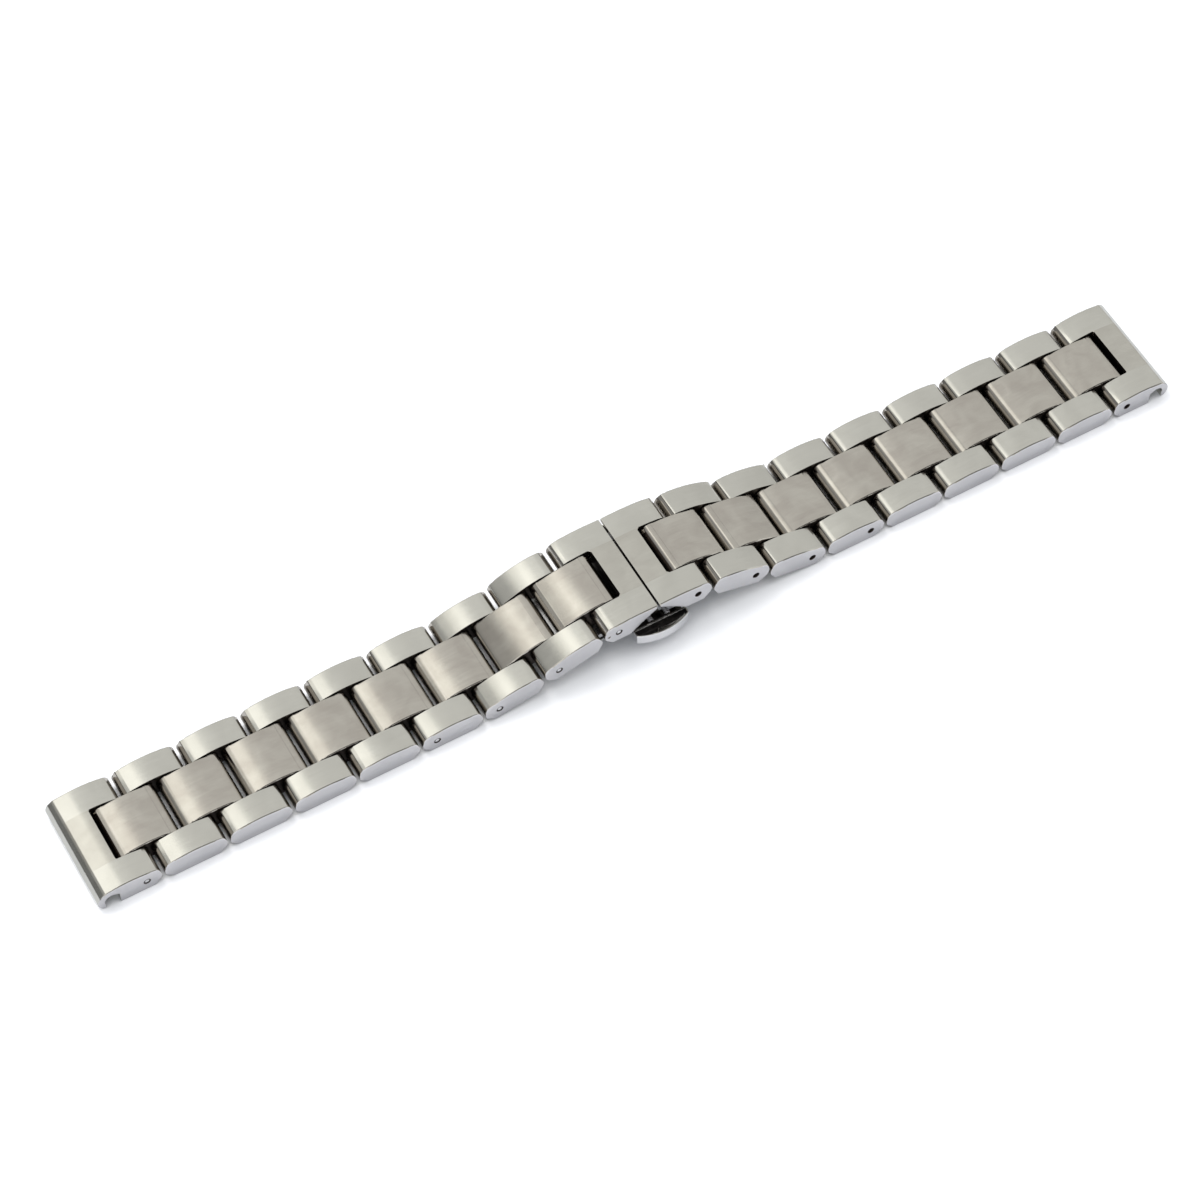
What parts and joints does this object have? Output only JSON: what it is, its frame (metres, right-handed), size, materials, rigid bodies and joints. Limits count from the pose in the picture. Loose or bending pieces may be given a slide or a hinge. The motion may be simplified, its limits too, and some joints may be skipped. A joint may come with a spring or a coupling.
{
  "type": "link watch bracelet",
  "caption": "Solid link bracelet for a wristwatch, with interlocking rows of hinged links and a folding clasp opened by a push button on each side.",
  "frame": {"origin": "under the middle of the closed clasp, on the plane that the bracelet lies on", "axes": "+X along the bracelet towards its right lug end, +Z out of the top faces, -Y towards the near side of the reference view"},
  "size_m": [0.1852, 0.0214, 0.0098],
  "materials": {
    "outer_row_steel": "satin",
    "centre_row_steel": "satin",
    "pin_steel": "polished",
    "clasp_plate_steel": "satin",
    "button_steel": "satin",
    "spring_steel": "satin"
  },
  "bodies": {
    "clasp_base": {"base_plate": "clasp_plate_steel", "lock_housing": "clasp_plate_steel", "wing_hinge_pin_left": "pin_steel", "wing_hinge_pin_right": "pin_steel", "button_spring": "spring_steel"},
    "wing_right": {"wing_right": "clasp_plate_steel", "clasp_end_right": "outer_row_steel", "clasp_end_pin_right": "pin_steel"},
    "centre_1_right": {"centre_link_right_1": "centre_row_steel"},
    "outer_1_right": {"outer_links_right_1": "outer_row_steel", "link_pin_right_1": "pin_steel"},
    "centre_2_right": {"centre_link_right_2": "centre_row_steel"},
    "outer_2_right": {"outer_links_right_2": "outer_row_steel", "link_pin_right_2": "pin_steel"},
    "centre_3_right": {"centre_link_right_3": "centre_row_steel"},
    "outer_3_right": {"outer_links_right_3": "outer_row_steel", "link_pin_right_3": "pin_steel"},
    "centre_4_right": {"centre_link_right_4": "centre_row_steel"},
    "outer_4_right": {"outer_links_right_4": "outer_row_steel"},
    "centre_5_right": {"centre_link_right_5": "centre_row_steel"},
    "outer_5_right": {"outer_links_right_5": "outer_row_steel"},
    "centre_6_right": {"centre_link_right_6": "centre_row_steel"},
    "outer_6_right": {"outer_links_right_6": "outer_row_steel"},
    "centre_7_right": {"centre_link_right_7": "centre_row_steel"},
    "outer_7_right": {"outer_links_right_7": "outer_row_steel"},
    "centre_8_right": {"centre_link_right_8": "centre_row_steel"},
    "lug_end_right": {"lug_end_right": "outer_row_steel", "lug_end_pin_right": "pin_steel"},
    "wing_left": {"wing_left": "clasp_plate_steel", "clasp_end_left": "outer_row_steel", "clasp_end_pin_left": "pin_steel"},
    "centre_1_left": {"centre_link_left_1": "centre_row_steel"},
    "outer_1_left": {"outer_links_left_1": "outer_row_steel", "link_pin_left_1": "pin_steel"},
    "centre_2_left": {"centre_link_left_2": "centre_row_steel"},
    "outer_2_left": {"outer_links_left_2": "outer_row_steel", "link_pin_left_2": "pin_steel"},
    "centre_3_left": {"centre_link_left_3": "centre_row_steel"},
    "outer_3_left": {"outer_links_left_3": "outer_row_steel", "link_pin_left_3": "pin_steel"},
    "centre_4_left": {"centre_link_left_4": "centre_row_steel"},
    "outer_4_left": {"outer_links_left_4": "outer_row_steel"},
    "centre_5_left": {"centre_link_left_5": "centre_row_steel"},
    "outer_5_left": {"outer_links_left_5": "outer_row_steel"},
    "centre_6_left": {"centre_link_left_6": "centre_row_steel"},
    "outer_6_left": {"outer_links_left_6": "outer_row_steel"},
    "centre_7_left": {"centre_link_left_7": "centre_row_steel"},
    "outer_7_left": {"outer_links_left_7": "outer_row_steel"},
    "centre_8_left": {"centre_link_left_8": "centre_row_steel"},
    "lug_end_left": {"lug_end_left": "outer_row_steel", "lug_end_pin_left": "pin_steel"},
    "button_near": {"button_near": "button_steel"},
    "button_far": {"button_far": "button_steel"}
  },
  "joints": [
    {"name": "clasp_wing_right", "type": "hinge", "parent": "clasp_base", "child": "wing_right", "pos_m": [0.0155, 0, 0.0015], "axis": [0, -1, 0], "range_deg": [-150, 0]},
    {"name": "link_hinge_right_1", "type": "hinge", "parent": "wing_right", "child": "centre_1_right", "pos_m": [0.0068, 0, 0.00764], "axis": [0, 1, 0], "range_deg": [-23, 0]},
    {"name": "link_hinge_right_2", "type": "hinge", "parent": "centre_1_right", "child": "outer_1_right", "pos_m": [0.01195, 0, 0.00664], "axis": [0, 1, 0], "range_deg": [-18, 1]},
    {"name": "link_hinge_right_3", "type": "hinge", "parent": "outer_1_right", "child": "centre_2_right", "pos_m": [0.01697, 0, 0.0051], "axis": [0, 1, 0], "range_deg": [-13, 15]},
    {"name": "link_hinge_right_4", "type": "hinge", "parent": "centre_2_right", "child": "outer_2_right", "pos_m": [0.02197, 0, 0.00348], "axis": [0, 1, 0], "range_deg": [-6, 22]},
    {"name": "link_hinge_right_5", "type": "hinge", "parent": "outer_2_right", "child": "centre_3_right", "pos_m": [0.0271, 0, 0.00239], "axis": [0, 1, 0], "range_deg": [-3.4, 24.6]},
    {"name": "link_hinge_right_6", "type": "hinge", "parent": "centre_3_right", "child": "outer_3_right", "pos_m": [0.03234, 0, 0.00208], "axis": [0, 1, 0], "range_deg": [-9.3, 18.7]},
    {"name": "link_hinge_right_7", "type": "hinge", "parent": "outer_3_right", "child": "centre_4_right", "pos_m": [0.03759, 0, 0.00201], "axis": [0, 1, 0], "range_deg": [-11.45, 16.55]},
    {"name": "link_hinge_right_8", "type": "hinge", "parent": "centre_4_right", "child": "outer_4_right", "pos_m": [0.04284, 0, 0.002], "axis": [0, 1, 0], "range_deg": [-11.85, 16.15]},
    {"name": "link_hinge_right_9", "type": "hinge", "parent": "outer_4_right", "child": "centre_5_right", "pos_m": [0.04809, 0, 0.002], "axis": [0, 1, 0], "range_deg": [-12, 16]},
    {"name": "link_hinge_right_10", "type": "hinge", "parent": "centre_5_right", "child": "outer_5_right", "pos_m": [0.05334, 0, 0.002], "axis": [0, 1, 0], "range_deg": [-12, 16]},
    {"name": "link_hinge_right_11", "type": "hinge", "parent": "outer_5_right", "child": "centre_6_right", "pos_m": [0.05859, 0, 0.002], "axis": [0, 1, 0], "range_deg": [-12, 16]},
    {"name": "link_hinge_right_12", "type": "hinge", "parent": "centre_6_right", "child": "outer_6_right", "pos_m": [0.06384, 0, 0.002], "axis": [0, 1, 0], "range_deg": [-12, 16]},
    {"name": "link_hinge_right_13", "type": "hinge", "parent": "outer_6_right", "child": "centre_7_right", "pos_m": [0.06909, 0, 0.002], "axis": [0, 1, 0], "range_deg": [-12, 16]},
    {"name": "link_hinge_right_14", "type": "hinge", "parent": "centre_7_right", "child": "outer_7_right", "pos_m": [0.07434, 0, 0.002], "axis": [0, 1, 0], "range_deg": [-12, 16]},
    {"name": "link_hinge_right_15", "type": "hinge", "parent": "outer_7_right", "child": "centre_8_right", "pos_m": [0.07959, 0, 0.002], "axis": [0, 1, 0], "range_deg": [-12, 16]},
    {"name": "link_hinge_right_16", "type": "hinge", "parent": "centre_8_right", "child": "lug_end_right", "pos_m": [0.08484, 0, 0.002], "axis": [0, 1, 0], "range_deg": [-12, 16]},
    {"name": "clasp_wing_left", "type": "hinge", "parent": "clasp_base", "child": "wing_left", "pos_m": [-0.0155, 0, 0.0015], "axis": [0, -1, 0], "range_deg": [0, 150]},
    {"name": "link_hinge_left_1", "type": "hinge", "parent": "wing_left", "child": "centre_1_left", "pos_m": [-0.0068, 0, 0.00764], "axis": [0, 1, 0], "range_deg": [0, 23]},
    {"name": "link_hinge_left_2", "type": "hinge", "parent": "centre_1_left", "child": "outer_1_left", "pos_m": [-0.01195, 0, 0.00664], "axis": [0, 1, 0], "range_deg": [-1, 18]},
    {"name": "link_hinge_left_3", "type": "hinge", "parent": "outer_1_left", "child": "centre_2_left", "pos_m": [-0.01697, 0, 0.0051], "axis": [0, 1, 0], "range_deg": [-15, 13]},
    {"name": "link_hinge_left_4", "type": "hinge", "parent": "centre_2_left", "child": "outer_2_left", "pos_m": [-0.02197, 0, 0.00348], "axis": [0, 1, 0], "range_deg": [-22, 6]},
    {"name": "link_hinge_left_5", "type": "hinge", "parent": "outer_2_left", "child": "centre_3_left", "pos_m": [-0.0271, 0, 0.00239], "axis": [0, 1, 0], "range_deg": [-24.6, 3.4]},
    {"name": "link_hinge_left_6", "type": "hinge", "parent": "centre_3_left", "child": "outer_3_left", "pos_m": [-0.03234, 0, 0.00208], "axis": [0, 1, 0], "range_deg": [-18.7, 9.3]},
    {"name": "link_hinge_left_7", "type": "hinge", "parent": "outer_3_left", "child": "centre_4_left", "pos_m": [-0.03759, 0, 0.00201], "axis": [0, 1, 0], "range_deg": [-16.55, 11.45]},
    {"name": "link_hinge_left_8", "type": "hinge", "parent": "centre_4_left", "child": "outer_4_left", "pos_m": [-0.04284, 0, 0.002], "axis": [0, 1, 0], "range_deg": [-16.15, 11.85]},
    {"name": "link_hinge_left_9", "type": "hinge", "parent": "outer_4_left", "child": "centre_5_left", "pos_m": [-0.04809, 0, 0.002], "axis": [0, 1, 0], "range_deg": [-16, 12]},
    {"name": "link_hinge_left_10", "type": "hinge", "parent": "centre_5_left", "child": "outer_5_left", "pos_m": [-0.05334, 0, 0.002], "axis": [0, 1, 0], "range_deg": [-16, 12]},
    {"name": "link_hinge_left_11", "type": "hinge", "parent": "outer_5_left", "child": "centre_6_left", "pos_m": [-0.05859, 0, 0.002], "axis": [0, 1, 0], "range_deg": [-16, 12]},
    {"name": "link_hinge_left_12", "type": "hinge", "parent": "centre_6_left", "child": "outer_6_left", "pos_m": [-0.06384, 0, 0.002], "axis": [0, 1, 0], "range_deg": [-16, 12]},
    {"name": "link_hinge_left_13", "type": "hinge", "parent": "outer_6_left", "child": "centre_7_left", "pos_m": [-0.06909, 0, 0.002], "axis": [0, 1, 0], "range_deg": [-16, 12]},
    {"name": "link_hinge_left_14", "type": "hinge", "parent": "centre_7_left", "child": "outer_7_left", "pos_m": [-0.07434, 0, 0.002], "axis": [0, 1, 0], "range_deg": [-16, 12]},
    {"name": "link_hinge_left_15", "type": "hinge", "parent": "outer_7_left", "child": "centre_8_left", "pos_m": [-0.07959, 0, 0.002], "axis": [0, 1, 0], "range_deg": [-16, 12]},
    {"name": "link_hinge_left_16", "type": "hinge", "parent": "centre_8_left", "child": "lug_end_left", "pos_m": [-0.08484, 0, 0.002], "axis": [0, 1, 0], "range_deg": [-16, 12]},
    {"name": "button_near_press", "type": "slide", "parent": "clasp_base", "child": "button_near", "axis": [0, 1, 0], "range_m": [0, 0.0007], "stiffness_N_per_m": 900, "springref_m": -0.0003, "deforming": ["button_spring"]},
    {"name": "button_far_press", "type": "slide", "parent": "clasp_base", "child": "button_far", "axis": [0, -1, 0], "range_m": [0, 0.0007], "stiffness_N_per_m": 900, "springref_m": -0.0003}
  ]
}
